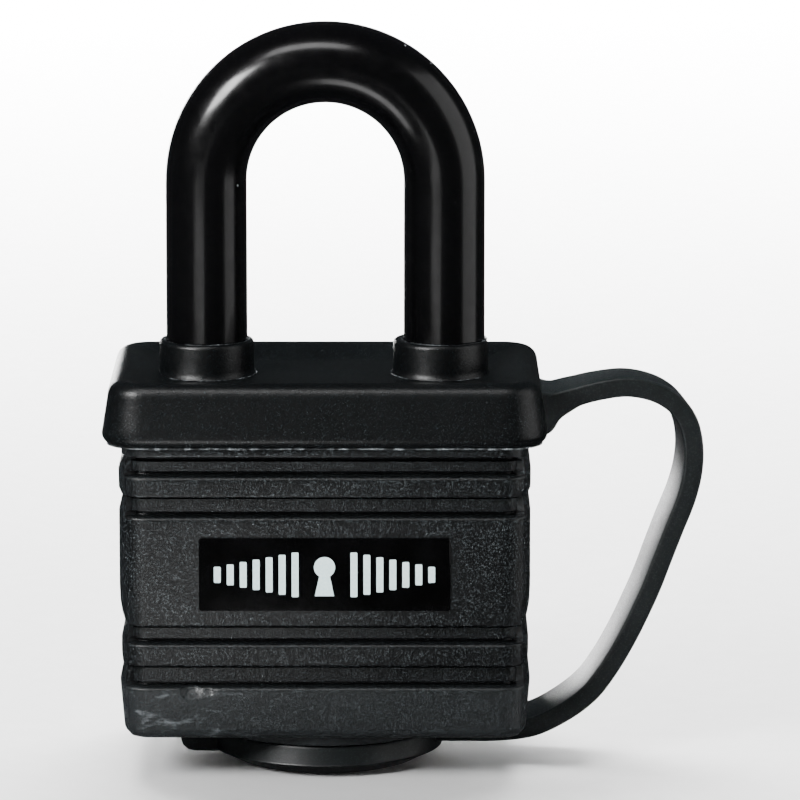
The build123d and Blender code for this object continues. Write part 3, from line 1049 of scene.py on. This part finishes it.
def make_cover():
    """Keyway cover: a turned disc with a chamfered floor, a plug that fills the keyhole, and a pull tab."""
    shape = bmesh.new()
    plug_top = cover_high[2]
    profile = [
        (0.02, 0.12), (5.0, 0.10), (cover_flat - 1.0, 0.06), (cover_flat - 0.5, 0.0),
        (cover_flat, 0.02), (cover_flat + 0.3, 0.12),
        (cover_radius - 0.5, cover_chamfer - 0.22), (cover_radius - 0.18, cover_chamfer - 0.06),
        (cover_radius + 0.02, cover_chamfer), (cover_radius + 0.05, cover_chamfer + 0.10),
        (cover_radius - 0.03, cover_chamfer + 0.22), (cover_radius - 0.02, cover_top - 0.3),
        (cover_radius - 0.15, cover_top - 0.08), (cover_radius - 0.4, cover_top),
        (plug_radius + 0.3, cover_top), (plug_radius, cover_top + 0.2),
        (plug_radius, plug_top - 0.5), (plug_radius - 0.4, plug_top), (0.02, plug_top),
    ]
    add_lathe(shape, profile, steps=96)
    add_tab(shape)
    return new_piece(
        "cover_moulding", shape, "cover", strap_plastic, ["keyway_cover"], 35
    )


def add_tab(shape):
    """Pull tab: a flat tongue with its lower corner and its sides rounded."""
    rings = []
    height_of_tongue = cover_top - 0.02
    stations = [
        (-6.0, 1.0, 0.0), (-11.0, 1.0, 0.0), (-13.2, 1.0, 0.0), (-13.9, 1.15, 0.0), (-14.4, 1.6, 0.05),
        (-14.6, 2.1, 0.12), (-tab_reach, 2.7, 0.25),
    ]
    for x, floor, narrow in stations:
        half = tab_half_width - narrow
        top, low = height_of_tongue - narrow * 0.5, floor
        ring = []
        high_z, low_z = top - tab_round, min(low + tab_round, top - tab_round)
        side_y = half - tab_round
        flatten = min(1, (top - low) / (2 * tab_round))
        corners = [
            (side_y, high_z, 0), (-side_y, high_z, 90),
            (-side_y, low_z, 180), (side_y, low_z, 270),
        ]
        for cy, cz, start in corners:
            for i in range(5):
                angle = math.radians(start + 90 * i / 4)
                ring.append((
                    x, cy + tab_round * math.cos(angle), cz + tab_round * math.sin(angle) * flatten
                ))
        rings.append(ring)
    add_rings(shape, rings)


# ---------------------------------------------------------------- shackle coating

rod_radius = 3.57


def make_sleeve():
    """The coating as a tube along the bent rod, with soft lips at its two ends."""
    shape = bmesh.new()
    foot = sleeve_low[2]
    stations = []
    for i in range(7):
        stations.append((leg_x, foot + (arch_centre - foot) * i / 7, 0.0))
    for i in range(97):
        angle = math.pi * i / 96
        stations.append((leg_x * math.cos(angle), arch_centre + leg_x * math.sin(angle), angle))
    for i in range(1, 8):
        stations.append((-leg_x, arch_centre + (foot - arch_centre) * i / 7, math.pi))
    rings = []

    def ring_at(x, z, angle, radius, slide=0.0):
        ring = []
        out = Vector((math.cos(angle), 0, math.sin(angle)))
        ahead = Vector((-math.sin(angle), 0, math.cos(angle)))
        for i in range(72):
            turn = 2 * math.pi * i / 72
            spot = Vector((x, 0, z)) + out * (radius * math.cos(turn)) + ahead * slide
            ring.append((spot.x, radius * math.sin(turn), spot.z))
        return ring

    first, last = stations[0], stations[-1]
    rings.append(ring_at(*first, rod_radius))
    rings.append(ring_at(*first, coated_radius - 0.15))
    rings.append(ring_at(*first, coated_radius - 0.03, 0.1))
    rings.append(ring_at(*first, coated_radius, 0.3))
    rings += [ring_at(*station, coated_radius) for station in stations[1:-1]]
    rings.append(ring_at(*last, coated_radius, -0.3))
    rings.append(ring_at(*last, coated_radius - 0.03, -0.1))
    rings.append(ring_at(*last, coated_radius - 0.15))
    rings.append(ring_at(*last, rod_radius))
    rings += [ring_at(*station, rod_radius) for station in stations[-2:0:-1]]
    add_rings(shape, rings, joined=True)
    return new_piece(
        "shackle_coating", shape, "shackle", coating, ["shackle_sleeve"], 60
    )


# ---------------------------------------------------------------- label

label_face = label_low[1]
label_half_width = (label_high[0] - label_low[0]) / 2
label_middle = (label_low[2] + label_high[2]) / 2
label_half_height = (label_high[2] - label_low[2]) / 2
keyhole_round = 1.05
keyhole_rise = 0.75
keyhole_drop = 2.15
bars_each_side = 7
bar_start, bar_gap = 2.9, 1.28
bar_half_width = 0.34
bar_tall, bar_shrink = 2.25, 0.24


def add_plate(shape, points, back, front, edge=0.03):
    """A thin flat plate in the front plane, with a fine bevel, from (x, z) points."""
    total = len(points)
    middle = Vector((sum(p[0] for p in points) / total, sum(p[1] for p in points) / total))

    def drawn_in(by):
        ring = []
        for x, z in points:
            inward = (middle - Vector((x, z))).normalized() * by
            ring.append((x + inward.x, z + inward.y))
        return ring

    rings = [[(x, back, z) for x, z in points], [(x, front + edge, z) for x, z in points],
             [(x, front, z) for x, z in drawn_in(edge)]]
    add_rings(shape, rings)


def rounded_bar(cx, cz, half_width, half_height, corner, steps=5):
    """Outline of a bar with rounded corners in the front plane."""
    points = []
    for sx, sz, start in ((1, 1, 0), (-1, 1, 90), (-1, -1, 180), (1, -1, 270)):
        for i in range(steps + 1):
            angle = math.radians(start + 90 * i / steps)
            points.append((cx + sx * (half_width - corner) + corner * math.cos(angle),
                           cz + sz * (half_height - corner) + corner * math.sin(angle)))
    return points


def make_label():
    """Label film on the front panel."""
    shape = bmesh.new()
    add_plate(shape, rounded_bar(0, label_middle, label_half_width, label_half_height, 0.25),
              label_high[1] + 0.1, label_face, 0.05)
    return new_piece("label_plate", shape, "body", film, ["front_label"])


def make_label_marks():
    """Plain printed marks: a keyhole between two runs of bars."""
    shape = bmesh.new()
    back, front = label_face + 0.01, label_face - 0.012
    keyhole = []
    for i in range(25):
        angle = math.radians(-60 + 300 * i / 24)
        keyhole.append((
            keyhole_round * math.cos(angle),
            label_middle + keyhole_rise + keyhole_round * math.sin(angle),
        ))
    keyhole += [(-0.95, label_middle - keyhole_drop), (0.95, label_middle - keyhole_drop)]
    add_plate(shape, keyhole, back, front, 0.008)
    for side in (-1, 1):
        for number in range(bars_each_side):
            x = side * (bar_start + number * bar_gap)
            tall = bar_tall - bar_shrink * number
            bar = rounded_bar(x, label_middle, bar_half_width, tall, 0.12)
            add_plate(shape, bar, back, front, 0.008)
    return new_piece("label_marks", shape, "body", ink)


# ---------------------------------------------------------------- studio

def area_light(name, place, aim, size, power, glossy=True, spread=180):
    """A rectangular softbox that the camera doesn't see, in metres and watts.

    glossy lets surfaces mirror it, and spread is the width of its beam in degrees.
    """
    data = bpy.data.lights.new(name, "AREA")
    data.shape = "RECTANGLE"
    data.size, data.size_y = size
    data.energy = power
    data.spread = math.radians(spread)
    lamp = bpy.data.objects.new(name, data)
    bpy.context.scene.collection.objects.link(lamp)
    lamp.location = place
    lamp.rotation_euler = (Vector(aim) - Vector(place)).to_track_quat("-Z", "Y").to_euler()
    lamp.visible_camera = False
    lamp.visible_glossy = glossy
    return lamp


def make_sweep():
    """Pale floor that curves up into a backdrop well behind the padlock."""
    shape = bmesh.new()
    front, bend_start, radius, wall_top, half_width = -0.9, 0.9, 0.5, 2.2, 2.2
    profile = [(front, 0.0), (0.0, 0.0), (bend_start, 0.0)]
    for i in range(1, 25):
        angle = math.pi / 2 * i / 24
        profile.append((bend_start + radius * math.sin(angle), radius * (1 - math.cos(angle))))
    profile.append((bend_start + radius, wall_top))
    rows = [[shape.verts.new((x, y, z)) for x in (-half_width, half_width)] for y, z in profile]
    for a, b in zip(rows, rows[1:]):
        shape.faces.new((a[0], a[1], b[1], b[0])).smooth = True
    mesh = bpy.data.meshes.new("studio_sweep")
    shape.to_mesh(mesh)
    shape.free()
    sweep = bpy.data.objects.new("studio_sweep", mesh)
    bpy.context.scene.collection.objects.link(sweep)
    mesh.materials.append(backdrop_paper())
    # Black gloss would mirror the white paper along every edge, so the paper stays out of
    # reflections
    sweep.visible_glossy = False


def make_lights():
    """Soft key and top light, cards beside and below the padlock, and light on the paper."""
    # Name, place, aim, size, power, and then whether surfaces mirror it and its spread
    area_light("key_softbox", (-0.23, -0.25, 0.23), (0, 0, 0.035), (0.12, 0.12), 1.5)
    area_light("top_softbox", (-0.06, -0.22, 0.40), (0, 0, 0.03), (0.25, 0.10), 0.45)
    area_light("right_card", (0.52, -0.12, 0.20), (0, 0, 0.06), (0.50, 0.60), 1.0)
    area_light("foot_card", (-0.030, -0.060, 0.002), (-0.030, -0.060, 0.1), (0.060, 0.030), 0.020)
    area_light("table_card", (-0.11, -0.28, 0.002), (-0.11, -0.28, 0.1), (0.14, 0.12), 0.13)
    # A low strip far behind on the left brightens the inner face of the strap's loop
    area_light("back_left_strip", (-0.19, 0.72, 0.03), (0.03, 0, 0.02), (0.13, 0.16), 1.1)
    area_light("backdrop_wash", (0.0, 0.50, 1.6), (0, 1.3, 0.3), (1.8, 0.6), 260.0, False, 90)
    area_light("floor_wash", (0.0, 0.45, 0.9), (0, 0.35, 0.0), (0.8, 0.4), 25.0, False)
    room_colour, room_strength = "#c8ccd0", 0.06
    world = bpy.data.worlds.new("studio_room")
    world.use_nodes = True
    background = world.node_tree.nodes["Background"]
    background.inputs["Color"].default_value = linear(room_colour)
    background.inputs["Strength"].default_value = room_strength
    bpy.context.scene.world = world


def make_camera():
    """Long lens, level with the front, looking a little down."""
    data = bpy.data.cameras.new("camera")
    data.sensor_width = 36.0
    distance = 0.60
    field = 0.0803  # width of the view at the padlock, in metres
    data.lens = data.sensor_width * distance / field
    camera = bpy.data.objects.new("camera", data)
    bpy.context.scene.collection.objects.link(camera)
    rise = math.radians(10.5)
    aim = Vector((mm(7.45), 0.0, mm(36.25)))  # middle of the padlock and its strap
    back = Vector((0, -math.cos(rise), math.sin(rise)))
    camera.location = aim + back * distance
    camera.rotation_euler = (-back).to_track_quat("-Z", "Y").to_euler()
    bpy.context.scene.camera = camera


# ---------------------------------------------------------------- making it all

make_camera()
make_lights()
make_sweep()
finish_cad_nodes()
make_jacket()
make_cap()
make_collar_flash()
make_skirt_flash()
make_strap()
make_cover()
make_sleeve()
make_label()
make_label_marks()
